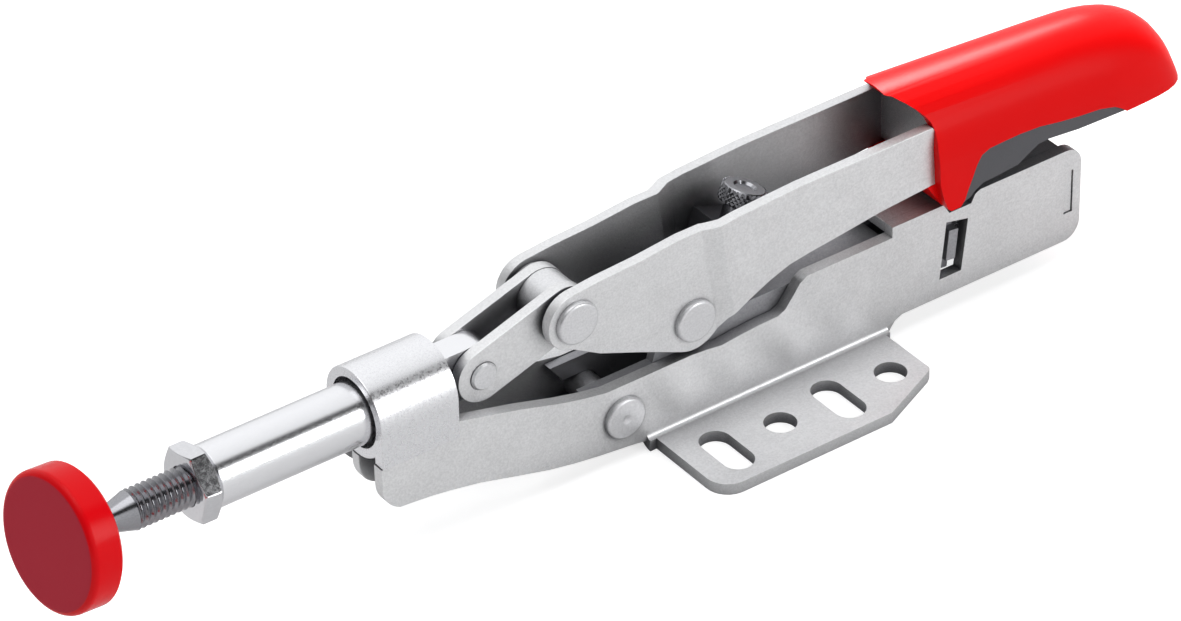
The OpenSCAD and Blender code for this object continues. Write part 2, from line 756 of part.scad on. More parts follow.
// The grip seen from the side: leaning mouth, pointed tip and the hollow for the fingers
module grip_outline() {
    rear = grip_rear_x + over;
    tip = grip_tip_z;
    top = grip_top_z + over;
    polygon([[22.6, top], [23.2, 53.5], [24.6, 53.4], [25.9, 53], [27.6, 51.8], [29, 50.6], [30.3, 49.2],
        [31.2, 47.8], [31.6, 46], [31.5, 42], [31.8, 37], [32, 33.8], [33, 30.2], [34, tip + 0.7],
        [34.8, tip], [37, tip], [39.7, tip + 0.8], [41.2, tip + 2], [43.1, tip + 3],
        [46.9, tip + 3.2], [52, tip + 3.7], [54.4, tip + 5.1], [57, tip + 6.4], [59.5, tip + 6.6],
        [67.2, grip_tail_z + 0.5], [79.3, grip_tail_z + 0.1], [rear, grip_tail_z], [rear, top]]);
}

// The lip under the cheeks, which shows through the mouth
module lip_outline() {
    polygon([[30, web_low_z - 0.8], [34, grip_tip_z + 0.7], [40, grip_tip_z + 1],
        [40, web_low_z + 1], [30, web_low_z + 1]]);
}

module insert_outline() {
    polygon([[36.2, drop_low_z], [37.1, grip_tip_z], [38.2, 28.2], [38.9, 30.2], [39.8, 32.2],
        [41, 35.2], [42.2, 37.1], [44.2, 37.9], [46.7, 38], [51.7, 38.1], [56.8, 37.8],
        [61.9, 36.9], [67, 36.2], [72.2, 35.7], [76.1, 34.7], [78, 33.5], [79.5, grip_tail_z],
        [82, drop_low_z]]);
}

// The arched room inside the grip's mouth, up to a given distance from the middle plane
module mouth_room(low, half, rear) {
    w = grip_half_w - grip_wall;
    top = grip_top(rear, grip_wall);
    rotate([90, 0, 90]) linear_extrude(rear) intersection() {
        polygon(concat([for (j = [0:arch_steps]) let (a = j * 180 / arch_steps)
            [w * cos(a), top - grip_arch + grip_arch * sin(a)]], [[-w, 0], [w, 0]]));
        translate([-half, low]) square([2 * half, top]);
    }
}

// The room that the lever takes inside the grip, with its open mouth
module grip_pocket() {
    both_sides() along_y(rear_in - seat_gap, rear_out + seat_gap) intersection() {
        cheek_outline();
        translate([grip_front_x, 0]) square([cheek_rear_x, grip_top_z]);
    }
    mouth_room(web_low_z - 1, rear_in, web_x + cheek_t + seat_gap);
    mouth_room(web_low_z, rear_out + seat_gap, web_x);
}

module grip_shell() {
    color("red") difference() {
        intersection() {
            grip_loft(0);
            union() {
                along_y(-wide, wide) grip_outline();
                along_y(-rear_out, rear_out) lip_outline();
            }
        }
        along_y(-wide, wide) insert_outline();
        grip_pocket();
    }
}

module grip_insert() {
    color("dimgray") difference() {
        intersection() {
            grip_loft(insert_step);
            along_y(-wide, wide) intersection() {
                grip_outline();
                insert_outline();
            }
        }
        grip_pocket();
    }
}

side_plate_left();
side_plate_right();
top_bridge();
rear_cross_plate();
guide_collar();
guide_bush();
front_keel();
base_rivet();
plunger();
spindle();
lock_nut();
pad_plate();
pad_cap();
link_left();
link_right();
plunger_pin();
front_rivet();
link_spacer();
link_washers();
handle_lever();
pivot_rivet();
carriage_channel();
slide_bar();
brake_plate();
brake_spring();
adjusting_screw();
screw_block();
grip_shell();
grip_insert();
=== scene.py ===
import json
import math

import bmesh
import bpy
from mathutils import Matrix, Vector


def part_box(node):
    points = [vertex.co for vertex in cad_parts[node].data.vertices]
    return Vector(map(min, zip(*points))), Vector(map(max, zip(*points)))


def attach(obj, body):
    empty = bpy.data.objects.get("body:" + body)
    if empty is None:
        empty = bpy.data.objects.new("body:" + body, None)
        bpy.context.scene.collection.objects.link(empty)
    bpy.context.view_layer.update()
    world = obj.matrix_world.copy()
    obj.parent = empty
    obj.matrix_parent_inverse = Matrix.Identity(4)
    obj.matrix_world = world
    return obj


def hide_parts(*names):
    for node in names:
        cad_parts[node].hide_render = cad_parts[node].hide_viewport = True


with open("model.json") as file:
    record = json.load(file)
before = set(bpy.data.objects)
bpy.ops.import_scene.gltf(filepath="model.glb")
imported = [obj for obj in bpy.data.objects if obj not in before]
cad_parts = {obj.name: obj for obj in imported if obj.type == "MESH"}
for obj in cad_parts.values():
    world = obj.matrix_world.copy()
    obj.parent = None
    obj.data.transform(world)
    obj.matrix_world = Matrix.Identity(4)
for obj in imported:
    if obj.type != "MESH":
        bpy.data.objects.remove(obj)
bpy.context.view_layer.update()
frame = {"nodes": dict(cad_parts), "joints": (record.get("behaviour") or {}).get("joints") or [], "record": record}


# Side plates: two stampings of 2.5 mm sheet steel, the left and right hand of one pattern, each
# with its base flange folded outwards. They are barrel zinc plated after stamping, so their faces
# are a pale satin and their sheared edges are slightly rounded and bright.

def linear(hex_code):
    """An sRGB hex colour as the linear colour that a shader socket takes."""
    shares = [int(hex_code[i:i + 2], 16) / 255 for i in (1, 3, 5)]
    return (*[c / 12.92 if c <= 0.04045 else ((c + 0.055) / 1.055) ** 2.4 for c in shares], 1.0)


def add(tree, kind, values, links=None):
    """Adds one node to a tree, with its settings and input values, and links its inputs."""
    made = tree.nodes.new(kind)
    for name, value in values.items():
        if isinstance(name, str) and hasattr(made, name):
            setattr(made, name, value)
        else:
            made.inputs[name].default_value = value
    for name, source in (links or {}).items():
        tree.links.new(source, made.inputs[name])
    return made


def empty_material(name):
    """A material with only its output node, and the tree it is built in."""
    material = bpy.data.materials.new(name)
    material.use_nodes = True
    tree = material.node_tree
    tree.nodes.clear()
    return material, tree, add(tree, "ShaderNodeOutputMaterial", {})


def grain_size(millimetres):
    """The scale that gives a noise or cell pattern features of this size, in Object coordinates."""
    return 1000.0 / millimetres


def zinc_plate(name, dark, light, rough, painted_shade="#606064"):
    """Barrel-plated zinc on stamped steel: a pale satin, speckled by its fine crystals, with soft
    cloudy patches where the bath left the zinc thicker and the faintest streaks along the sheet.
    In the gaps between the parts an ambient occlusion mask paints shade into the colour. The
    crystals are some ten times finer than the 0.45 mm at which they are drawn, so that they show."""
    crystals, streaks, clouds = grain_size(0.45), grain_size(0.6), grain_size(9.0)
    streak_share, cloud_share = 0.15, 0.3
    material, tree, output = empty_material(name)
    place = add(tree, "ShaderNodeTexCoord", {}).outputs["Object"]
    frost = add(tree, "ShaderNodeTexNoise", {"Scale": crystals, "Detail": 3.0, "Roughness": 0.7},
                {"Vector": place})
    along = add(tree, "ShaderNodeMapping", {"Scale": (0.1, 1.0, 1.0)}, {"Vector": place})
    rolled = add(tree, "ShaderNodeTexNoise", {"Scale": streaks, "Detail": 3.0},
                 {"Vector": along.outputs["Vector"]})
    cloud = add(tree, "ShaderNodeTexNoise", {"Scale": clouds, "Detail": 3.0}, {"Vector": place})
    surface = add(tree, "ShaderNodeMath", {"operation": "MULTIPLY_ADD", 1: streak_share},
                  {0: rolled.outputs["Fac"], 2: frost.outputs["Fac"]})
    clouded = add(tree, "ShaderNodeMath", {"operation": "MULTIPLY_ADD", 1: cloud_share},
                  {0: cloud.outputs["Fac"], 2: surface.outputs["Value"]})
    even = add(tree, "ShaderNodeMapRange", {"From Min": 0.45, "From Max": 1.0},
               {"Value": clouded.outputs["Value"]})
    tone = add(tree, "ShaderNodeMix", {"data_type": "RGBA", 6: linear(dark), 7: linear(light)},
               {0: even.outputs["Result"]})
    # Painted shade: where ambient occlusion finds nearby parts, the colour is blended toward the darker painted
    # shade colour.
    open_sky = add(tree, "ShaderNodeAmbientOcclusion", {"samples": 6, "Distance": 0.02})
    open_part = add(tree, "ShaderNodeMapRange", {"From Min": 0.3, "From Max": 0.7},
                    {"Value": open_sky.outputs["AO"]})
    shaded_tone = add(tree, "ShaderNodeMix", {"data_type": "RGBA", 6: linear(painted_shade)},
               {0: open_part.outputs["Result"], 7: tone.outputs[2]})
    satin = add(tree, "ShaderNodeMapRange", {"From Min": 0.3, "From Max": 0.7, "To Min": rough[0],
                                             "To Max": rough[1]}, {"Value": frost.outputs["Fac"]})
    bump = add(tree, "ShaderNodeBump", {"Strength": 0.5, "Distance": 0.00006},
               {"Height": surface.outputs["Value"]})
    metal = add(tree, "ShaderNodeBsdfPrincipled", {"Metallic": 0.72},
                {"Base Color": shaded_tone.outputs[2], "Roughness": satin.outputs["Result"],
                 "Normal": bump.outputs["Normal"]})
    tree.links.new(metal.outputs["BSDF"], output.inputs["Surface"])
    return material


def finished(node, body, material, edge, crease=32):
    """A copy of a CAD node with its real edges rounded, which stands in for the bare node. Edges
    that bend by less than the crease angle, in degrees, belong to a curve and stay as they are."""
    same_spot, still_flat = 2e-6, math.radians(0.4)
    rounded_bend, shaded_bend = math.radians(crease), math.radians(crease + 8)
    mesh = frame["nodes"][node].data.copy()
    shape = bmesh.new()
    shape.from_mesh(mesh)
    bmesh.ops.remove_doubles(shape, verts=shape.verts, dist=same_spot)
    bmesh.ops.dissolve_limit(shape, angle_limit=still_flat, verts=shape.verts, edges=shape.edges)
    if edge:
        sharp = [e for e in shape.edges if e.calc_face_angle(0) > rounded_bend]
        bmesh.ops.bevel(shape, geom=sharp, offset=edge, offset_type="OFFSET", segments=2,
                        profile=0.5, affect="EDGES", clamp_overlap=True)
    bmesh.ops.triangulate(shape, faces=[f for f in shape.faces if len(f.verts) > 4])
    for face in shape.faces:
        face.smooth = True
    for e in shape.edges:
        e.smooth = e.calc_face_angle(0) <= shaded_bend
    shape.to_mesh(mesh)
    shape.free()
    mesh.materials.clear()
    mesh.materials.append(material)
    piece = bpy.data.objects.new(node + "_finished", mesh)
    bpy.context.collection.objects.link(piece)
    weigh = piece.modifiers.new("even_shading", "WEIGHTED_NORMAL")
    weigh.keep_sharp = True
    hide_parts(node)
    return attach(piece, body)


plate_zinc = zinc_plate("barrel_plated_zinc", dark="#D2D2D3", light="#F0F0F1", rough=(0.36, 0.5))
for side in ("left", "right"):
    finished("side_plate_" + side, "frame", plate_zinc, edge=0.00022)


# Bridge, cross plate and keel: flat blanks of the same plated sheet that hold the two side plates
# at their distance, one above, one at the rear and one in the middle plane below the collar.

finished("top_bridge", "frame", plate_zinc, edge=0.00022)
finished("rear_cross_plate", "frame", plate_zinc, edge=0.00015)
finished("front_keel", "frame", plate_zinc, edge=0.0003)


# Guide collar: a band of sheet steel rolled round the plunger, ground and bright plated. The
# grinding leaves it smoother than the plates, so it carries soft mirror bands with a grainy rim.

def bright_plate(name, colour, rough, grain, mark=None, light="#DEDEE1"):
    """Bright nickel on a turned or ground part: nearly a mirror, with a fine grain, in
    millimetres, that roughens its reflections and, where mark is given, faint tool marks of that
    width round the part's axis. Both are finer on the real parts and are drawn coarser to show."""
    material, tree, output = empty_material(name)
    place = add(tree, "ShaderNodeTexCoord", {}).outputs["Object"]
    fine = add(tree, "ShaderNodeTexNoise", {"Scale": grain_size(grain), "Detail": 2.0},
               {"Vector": place})
    sheen = add(tree, "ShaderNodeMapRange", {"From Min": 0.3, "From Max": 0.7, "To Min": rough[0],
                                             "To Max": rough[1]}, {"Value": fine.outputs["Fac"]})
    height = fine.outputs["Fac"]
    if mark:
        squeezed = add(tree, "ShaderNodeMapping", {"Scale": (1.0, 0.02, 0.02)}, {"Vector": place})
        cut = add(tree, "ShaderNodeTexNoise", {"Scale": grain_size(mark), "Detail": 3.0},
                  {"Vector": squeezed.outputs["Vector"]})
        both = add(tree, "ShaderNodeMath", {"operation": "MULTIPLY_ADD", 1: 1.2},
                   {0: cut.outputs["Fac"], 2: fine.outputs["Fac"]})
        height = both.outputs["Value"]
    bump = add(tree, "ShaderNodeBump", {"Strength": 0.08, "Distance": 0.00003}, {"Height": height})
    tone = add(tree, "ShaderNodeMix", {"data_type": "RGBA", 6: linear(colour), 7: linear(light)},
               {0: fine.outputs["Fac"]})
    metal = add(tree, "ShaderNodeBsdfPrincipled", {"Metallic": 1.0},
                {"Base Color": tone.outputs[2], "Roughness": sheen.outputs["Result"],
                 "Normal": bump.outputs["Normal"]})
    tree.links.new(metal.outputs["BSDF"], output.inputs["Surface"])
    return material


collar_nickel = bright_plate("ground_bright_nickel", "#DADADD", rough=(0.24, 0.36), grain=0.45,
                             light="#F2F2F4")
finished("guide_collar", "frame", collar_nickel, edge=0.0003)


# Guide bush: a sintered iron sleeve pressed into the collar. Its open pores hold oil, which makes
# it dull and somewhat dark; the rest of its dark tone is painted shade for the shadow in the bore.

def sintered_iron_and_shade():
    """Sintered iron: dull, with open pores of a tenth of a millimetre, drawn three times that
    size so that they show, and drawn dark grey, partly as painted shade."""
    material, tree, output = empty_material("sintered_iron_and_shade")
    place = add(tree, "ShaderNodeTexCoord", {}).outputs["Object"]
    pores = add(tree, "ShaderNodeTexVoronoi", {"Scale": grain_size(0.3)}, {"Vector": place})
    # Partly painted shade: the dark grey tone also stands in for the shadow inside the collar's bore.
    tone = add(tree, "ShaderNodeMix",
               {"data_type": "RGBA", 6: linear("#2A2A2C"), 7: linear("#4C4C50")},
               {0: pores.outputs["Distance"]})
    bump = add(tree, "ShaderNodeBump", {"Strength": 0.4, "Distance": 0.00008},
               {"Height": pores.outputs["Distance"]})
    iron = add(tree, "ShaderNodeBsdfPrincipled", {"Metallic": 0.6, "Roughness": 0.62},
               {"Base Color": tone.outputs[2], "Normal": bump.outputs["Normal"]})
    tree.links.new(iron.outputs["BSDF"], output.inputs["Surface"])
    return material


finished("guide_bush", "frame", sintered_iron_and_shade(), edge=0.00012)


# Plunger: a 12.5 mm ground rod, bright plated, whose rear end is milled to a flat tongue. With
# the nut it has the smoothest surface on the clamp.

rod_nickel = bright_plate("ground_rod_nickel", "#E0E0E3", rough=(0.17, 0.27), grain=0.3,
                          mark=0.25, light="#EEEEF0")
finished("plunger", "plunger", rod_nickel, edge=0.0002)


# Spindle: turned from 8 mm bar, with a rolled thread, a cone and a ball end that snaps into the
# pad. It is plated darker than the rod, and the thread's flanks catch dark lines.

def turned(profile, centre, axis, segments=96):
    """A closed solid of revolution: its profile is pairs of a radius and a place along the axis,
    and starts and ends on the axis."""
    shape = bmesh.new()
    rings = []
    for radius, along in profile:
        count = 1 if radius == 0 else segments
        ring = []
        for i in range(count):
            a = 2 * math.pi * i / segments
            across = (radius * math.cos(a), radius * math.sin(a))
            spot = (along, *across) if axis == "X" else (*across, along)
            ring.append(shape.verts.new(Vector(spot) + Vector(centre)))
        rings.append(ring)
    for one, two in zip(rings, rings[1:]):
        for i in range(segments):
            j = (i + 1) % segments
            corners = [one[i % len(one)], one[j % len(one)], two[j % len(two)], two[i % len(two)]]
            shape.faces.new(list(dict.fromkeys(corners)))
    bmesh.ops.recalc_face_normals(shape, faces=shape.faces)
    for face in shape.faces:
        face.smooth = True
    for e in shape.edges:
        e.smooth = e.calc_face_angle(0) < math.radians(30)
    mesh = bpy.data.meshes.new("turned")
    shape.to_mesh(mesh)
    shape.free()
    return mesh


def ridge_tree():
    """Geometry nodes that wind V-shaped ridges round an axis and join them to the piece: one long
    one is a thread, and many short crossing ones are a knurl."""
    tree = bpy.data.node_groups.new("wound_ridges", "GeometryNodeTree")
    tree.interface.new_socket("Geometry", in_out="INPUT", socket_type="NodeSocketGeometry")
    for name, kind in (("Turns", "Float"), ("Radius", "Float"), ("Length", "Float"),
                       ("Width", "Float"), ("Depth", "Float"), ("Copies", "Int"),
                       ("Points", "Int"), ("Crossing", "Bool"), ("Place", "Vector"),
                       ("Tilt", "Vector"), ("Material", "Material")):
        tree.interface.new_socket(name, in_out="INPUT", socket_type="NodeSocket" + kind)
    tree.interface.new_socket("Geometry", in_out="OUTPUT", socket_type="NodeSocketGeometry")
    given = add(tree, "NodeGroupInput", {}).outputs
    vee = add(tree, "GeometryNodeCurvePrimitiveQuadrilateral", {"mode": "KITE"},
              {"Width": given["Depth"], "Bottom Height": given["Width"],
               "Top Height": given["Width"]})
    sets = []
    for left in (False, True):
        coil = add(tree, "GeometryNodeCurveSpiral", {"Reverse": left},
                   {"Rotations": given["Turns"], "Start Radius": given["Radius"],
                    "End Radius": given["Radius"], "Height": given["Length"],
                    "Resolution": given["Points"]})
        level = add(tree, "GeometryNodeSetCurveNormal", {"mode": "Z_UP"},
                    {"Curve": coil.outputs["Curve"]})
        swept = add(tree, "GeometryNodeCurveToMesh", {"Fill Caps": True},
                    {"Curve": level.outputs["Curve"], "Profile Curve": vee.outputs["Curve"]})
        flat = add(tree, "GeometryNodeSetShadeSmooth", {"Shade Smooth": False},
                   {"Geometry": swept.outputs["Mesh"]})
        spots = add(tree, "GeometryNodePoints", {}, {"Count": given["Copies"]})
        number = add(tree, "GeometryNodeInputIndex", {})
        share = add(tree, "ShaderNodeMath", {"operation": "DIVIDE"},
                    {0: number.outputs["Index"], 1: given["Copies"]})
        angle = add(tree, "ShaderNodeMath", {"operation": "MULTIPLY", 1: 2 * math.pi},
                    {0: share.outputs["Value"]})
        spin = add(tree, "ShaderNodeCombineXYZ", {}, {"Z": angle.outputs["Value"]})
        sets.append(add(tree, "GeometryNodeInstanceOnPoints", {},
                        {"Points": spots.outputs["Points"], "Instance": flat.outputs["Geometry"],
                         "Rotation": spin.outputs["Vector"]}))
    second = add(tree, "GeometryNodeSwitch", {"input_type": "GEOMETRY"},
                 {"Switch": given["Crossing"], "True": sets[1].outputs["Instances"]})
    ridges = add(tree, "GeometryNodeJoinGeometry", {})
    tree.links.new(sets[0].outputs["Instances"], ridges.inputs["Geometry"])
    tree.links.new(second.outputs["Output"], ridges.inputs["Geometry"])
    seated = add(tree, "GeometryNodeTransform", {},
                 {"Geometry": ridges.outputs["Geometry"], "Translation": given["Place"],
                  "Rotation": given["Tilt"]})
    whole = add(tree, "GeometryNodeJoinGeometry", {})
    tree.links.new(seated.outputs["Geometry"], whole.inputs["Geometry"])
    tree.links.new(given["Geometry"], whole.inputs["Geometry"])
    real = add(tree, "GeometryNodeRealizeInstances", {}, {"Geometry": whole.outputs["Geometry"]})
    coloured = add(tree, "GeometryNodeSetMaterial", {},
                   {"Geometry": real.outputs["Geometry"], "Material": given["Material"]})
    end = add(tree, "NodeGroupOutput", {})
    tree.links.new(coloured.outputs["Geometry"], end.inputs["Geometry"])
    return tree


def plain(piece):
    """Turns a piece's modifiers into its mesh and removes them."""
    bpy.context.view_layer.update()
    shown = piece.evaluated_get(bpy.context.evaluated_depsgraph_get())
    done = bpy.data.meshes.new_from_object(shown)
    piece.modifiers.clear()
    piece.data = done
    return piece


def with_ridges(name, mesh, material, sizes):
    """A piece with ridges wound round it, as one plain mesh."""
    piece = bpy.data.objects.new(name, mesh)
    bpy.context.collection.objects.link(piece)
    wind = piece.modifiers.new("wound_ridges", "NODES")
    wind.node_group = ridges_tree
    for item in ridges_tree.interface.items_tree:
        if item.in_out == "INPUT" and item.name in sizes:
            wind[item.identifier] = sizes[item.name]
        if item.in_out == "INPUT" and item.name == "Material":
            wind[item.identifier] = material
    return plain(piece)


ridges_tree = ridge_tree()
spindle_low, spindle_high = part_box("spindle")
axis_z = (spindle_low.z + spindle_high.z) / 2
thread_r, root_r, thread_pitch, thread_l = 0.004, 0.00328, 0.00125, 0.0172
ridge_w = 0.48 * thread_pitch
cone_x, cone_r, cone_back = -0.1458, thread_r - 0.0001, 0.0006
neck_x, neck_r = -0.1500, 0.0027
ball_r, ball_steps = 0.0037, 16
ball_x = spindle_low.x + ball_r
neck_angle = math.pi - math.asin(neck_r / ball_r)
ball = [(ball_r * math.sin(a), ball_x - ball_r * math.cos(a))
        for a in [neck_angle * i / ball_steps for i in range(1, ball_steps + 1)]]
spindle_profile = [(0, spindle_low.x), *ball, (neck_r, neck_x), (cone_r, cone_x),
                   (root_r, cone_x + cone_back), (root_r, spindle_high.x), (0, spindle_high.x)]
thread_nickel = bright_plate("rolled_thread_nickel", "#8C8C90", rough=(0.16, 0.24), grain=0.3,
                             light="#A6A6AA")
spindle_core = turned(spindle_profile, (0, 0, axis_z), "X")
spindle = with_ridges("spindle_threaded", spindle_core, thread_nickel, {
    "Turns": thread_l / thread_pitch, "Radius": root_r, "Length": thread_l, "Width": ridge_w,
    "Depth": 2 * (thread_r - root_r), "Copies": 1, "Points": 48, "Crossing": False,
    "Place": (cone_x, 0, axis_z), "Tilt": (0, math.pi / 2, 0)})
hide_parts("spindle")
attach(spindle, "spindle")


# Lock nut: a thin hexagon nut, chamfered on both sides and bright plated, run up to the rod's end.

nut_nickel = bright_plate("faced_nut_nickel", "#CECED1", rough=(0.08, 0.14), grain=0.8)
finished("lock_nut", "nut", nut_nickel, edge=0.00012)


# Pad: a pressed steel cup that holds the spindle's ball, under a moulded red cap. The cap's rim
# is glossy and its flat face is finely textured, so that it grips the work.

def moulded(name, colour, deep, rough, grain, bump_height, gloss=0.06, face=None):
    """Moulded plastic: an even colour with very slight flow variation and a fine mould texture that
    breaks its gloss. A face, given by its outward direction, is matte and drawn darker than the rest as painted
    shade.
    The texture's grain, in millimetres, is coarser than the real one, so that it shows."""
    material, tree, output = empty_material(name)
    spot = add(tree, "ShaderNodeTexCoord", {}).outputs
    fine = add(tree, "ShaderNodeTexNoise", {"Scale": grain_size(grain), "Detail": 3.0},
               {"Vector": spot["Object"]})
    flow = add(tree, "ShaderNodeTexNoise", {"Scale": grain_size(18.0), "Detail": 2.0},
               {"Vector": spot["Object"]})
    tone = add(tree, "ShaderNodeMix", {"data_type": "RGBA", 6: linear(deep), 7: linear(colour)},
               {0: flow.outputs["Fac"]})
    satin = add(tree, "ShaderNodeMapRange", {"From Min": 0.3, "From Max": 0.7, "To Min": rough[0],
                                             "To Max": rough[1]}, {"Value": fine.outputs["Fac"]})
    bump = add(tree, "ShaderNodeBump", {"Strength": 0.25, "Distance": bump_height},
               {"Height": fine.outputs["Fac"]})
    plastic = add(tree, "ShaderNodeBsdfPrincipled", {"Specular IOR Level": gloss},
                  {"Base Color": tone.outputs[2], "Roughness": satin.outputs["Result"],
                   "Normal": bump.outputs["Normal"]})
    shown = plastic.outputs["BSDF"]
    if face:
        turn = add(tree, "ShaderNodeVectorMath", {"operation": "DOT_PRODUCT", 1: face},
                   {0: spot["Normal"]})
        flat = add(tree, "ShaderNodeMapRange", {"From Min": 0.93, "From Max": 0.985},
                   {"Value": turn.outputs["Value"]})
        # Painted shade: the face turned away from the light gets a darker colour than the rim.
        matte = add(tree, "ShaderNodeBsdfPrincipled",
                    {"Base Color": linear("#BA1630"), "Roughness": 0.6, "Specular IOR Level": 0.25},
                    {"Normal": bump.outputs["Normal"]})
        both = add(tree, "ShaderNodeMixShader", {},
                   {0: flat.outputs["Result"], 1: shown, 2: matte.outputs["BSDF"]})
        shown = both.outputs["Shader"]
    tree.links.new(shown, output.inputs["Surface"])
    return material


finished("pad_plate", "pad", plate_zinc, edge=0.0002)
pad_out = next(m["axis"] for m in frame["record"]["mounts"] if m["name"] == "pad_face")
cap_red = moulded("moulded_cap_red", "#E60C16", "#DC0A13", rough=(0.16, 0.24), grain=0.4,
                  bump_height=0.00002, gloss=0.1, face=pad_out)
finished("pad_cap", "pad", cap_red, edge=0)


# Links: two short blanks of plated sheet between the plunger's tongue and the handle, with the
# pin that joins them to the tongue and the sleeve that keeps them apart at the other end.

for side in ("left", "right"):
    finished("link_" + side, "links", plate_zinc, edge=0.0002)
rivet_zinc = zinc_plate("headed_rivet_zinc", dark="#D0D0D2", light="#ECECEE", rough=(0.3, 0.44))
finished("plunger_pin", "links", rivet_zinc, edge=0)
finished("link_spacer", "links", rivet_zinc, edge=0.0002)


# Handle lever: one long blank of 2.3 mm sheet folded into two cheeks, which step outwards behind
# the pivot, with a cross web that the grip hides. The step's folds bend so little that the crease
# angle is lower here. The washers keep the cheeks clear of the links.

finished("handle_lever", "handle", plate_zinc, edge=0.00022, crease=18)
finished("link_washers", "handle", rivet_zinc, edge=0.0001)


# Rivets: cold headed steel, plated. The two on the handle have flat heads with a rounded rim, and
# the base rivet's head is a low cone with a dimple from the riveting tool.

finished("front_rivet", "handle", rivet_zinc, edge=0)
finished("pivot_rivet", "handle", rivet_zinc, edge=0)
finished("base_rivet", "frame", rivet_zinc, edge=0)


# Carriage: a folded channel of plated steel that carries the pivot and slides between the
# plates, and the square bar behind it that runs through the brake plate. Its zinc is drawn darker
# than the plates' as painted shade for its place deep between them.

# Painted shade: a darker tone of the plates' zinc, with a lighter painted shade colour in its gaps.
shaded_zinc = zinc_plate("zinc_darkened_as_shade", dark="#8C8C90", light="#B4B4B8", rough=(0.35, 0.5),
                        painted_shade="#7A7A7E")
finished("carriage_channel", "carriage", shaded_zinc, edge=0.0002)
finished("slide_bar", "carriage", rod_nickel, edge=0.0002)


# Brake: a hardened plate, canted on the bar so that it grips, and the wire spring that keeps it
# canted. Both show only through the windows in the side plates.

# The brake plate takes the carriage's darker zinc, whose dark tone is painted shade for the inside of the frame.
finished("brake_plate", "frame", shaded_zinc, edge=0.0002)
spring_wire = bright_plate("drawn_spring_wire", "#B0B0B4", rough=(0.2, 0.3), grain=0.3)
finished("brake_spring", "frame", spring_wire, edge=0)


# Adjusting screw: sets how hard the clamp grips. It leans with its joint, its low head is knurled
# all round with a dimple on top, and its shank runs down through a block that sits between the
# cheeks, drawn dark as painted shade.

screw_joint = next(j for j in frame["joints"] if j["name"] == "screw_turn")
screw_top = Vector(screw_joint["pos_m"])
screw_lean = math.atan2(screw_joint["axis"][0], screw_joint["axis"][2])
screw_l, shank_r = 0.02177, 0.003
knob_r, knob_h, chamfer = 0.00465, 0.0036, 0.0004
knurl_depth, knurl_w, knurl_count, knurl_turns = 0.0003, 0.0005, 26, 0.1
dimple_r, dimple_foot_r, dimple_h, dimple_mid_h = 0.0024, 0.002, 0.0005, 0.0006
root = knob_r - knurl_depth
screw_profile = [(0, -screw_l), (shank_r, -screw_l), (shank_r, -knob_h), (root - chamfer, -knob_h),
                 (root, chamfer - knob_h), (root, -chamfer), (root - chamfer, 0), (dimple_r, 0),
                 (dimple_foot_r, -dimple_h), (0, -dimple_mid_h)]
screw_core = turned(screw_profile, (0, 0, 0), "Z", 72)
screw = with_ridges("adjusting_screw_knurled", screw_core, thread_nickel, {
    "Turns": knurl_turns, "Radius": root, "Length": knob_h - 2 * chamfer, "Width": knurl_w,
    "Depth": 2 * knurl_depth, "Copies": knurl_count, "Points": 64, "Crossing": True,
    "Place": (0, 0, chamfer - knob_h), "Tilt": (0, 0, 0)})
screw.data.transform(Matrix.Translation(screw_top) @ Matrix.Rotation(screw_lean, 4, "Y"))
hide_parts("adjusting_screw")
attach(screw, "screw")
# Painted shade: the block's dark tone lets it sink into the shade between the cheeks.
block_steel = zinc_plate("dark_block_steel_as_shade", dark="#3C3C40", light="#545458",
                         rough=(0.4, 0.55))
finished("screw_block", "handle", block_steel, edge=0.0003)


# Grip: a red shell moulded over the lever, and a dark grey insert of soft plastic below it, where
# the fingers lie. The shell has a satin gloss, the insert is matte. The shell's lip is trimmed
# square, because the solid's has a narrow tab in its middle that the real one lacks.

lip_x = 0.0247
grip_red = moulded("moulded_grip_red", "#E4080A", "#DC0709", rough=(0.28, 0.34), grain=0.5,
                   bump_height=0.00001, gloss=0.08)
shell = finished("grip_shell", "handle", grip_red, edge=0)
mouth = bmesh.new()
mouth.from_mesh(shell.data)
bmesh.ops.bisect_plane(mouth, geom=mouth.verts[:] + mouth.edges[:] + mouth.faces[:],
                       plane_co=(lip_x, 0, 0), plane_no=(-1, 0, 0), clear_outer=True)
bmesh.ops.holes_fill(mouth, edges=[e for e in mouth.edges if e.is_boundary])
mouth.to_mesh(shell.data)
mouth.free()
insert_grey = moulded("soft_insert_grey", "#57575A", "#505054", rough=(0.5, 0.62), grain=0.5,
                      bump_height=0.00006, gloss=0.3)
finished("grip_insert", "handle", insert_grey, edge=0)


# Floor: a white sweep that the clamp stands on. It shows the camera an even white and keeps a
# soft shadow under the clamp.

def white_floor():
    """Matte white paper, with a little even light of its own that only the camera sees, so that
    it reaches white without more light on the clamp."""
    material, tree, output = empty_material("white_sweep")
    ray = add(tree, "ShaderNodeLightPath", {})
    paper = add(tree, "ShaderNodeBsdfDiffuse", {"Color": linear("#E7E7E7")})
    glow = add(tree, "ShaderNodeEmission", {"Color": linear("#FFFFFF"), "Strength": 0.65})
    lit = add(tree, "ShaderNodeAddShader", {},
              {0: paper.outputs["BSDF"], 1: glow.outputs["Emission"]})
    pick = add(tree, "ShaderNodeMixShader", {},
               {0: ray.outputs["Is Camera Ray"], 1: paper.outputs["BSDF"],
                2: lit.outputs["Shader"]})
    tree.links.new(pick.outputs["Shader"], output.inputs["Surface"])
    return material


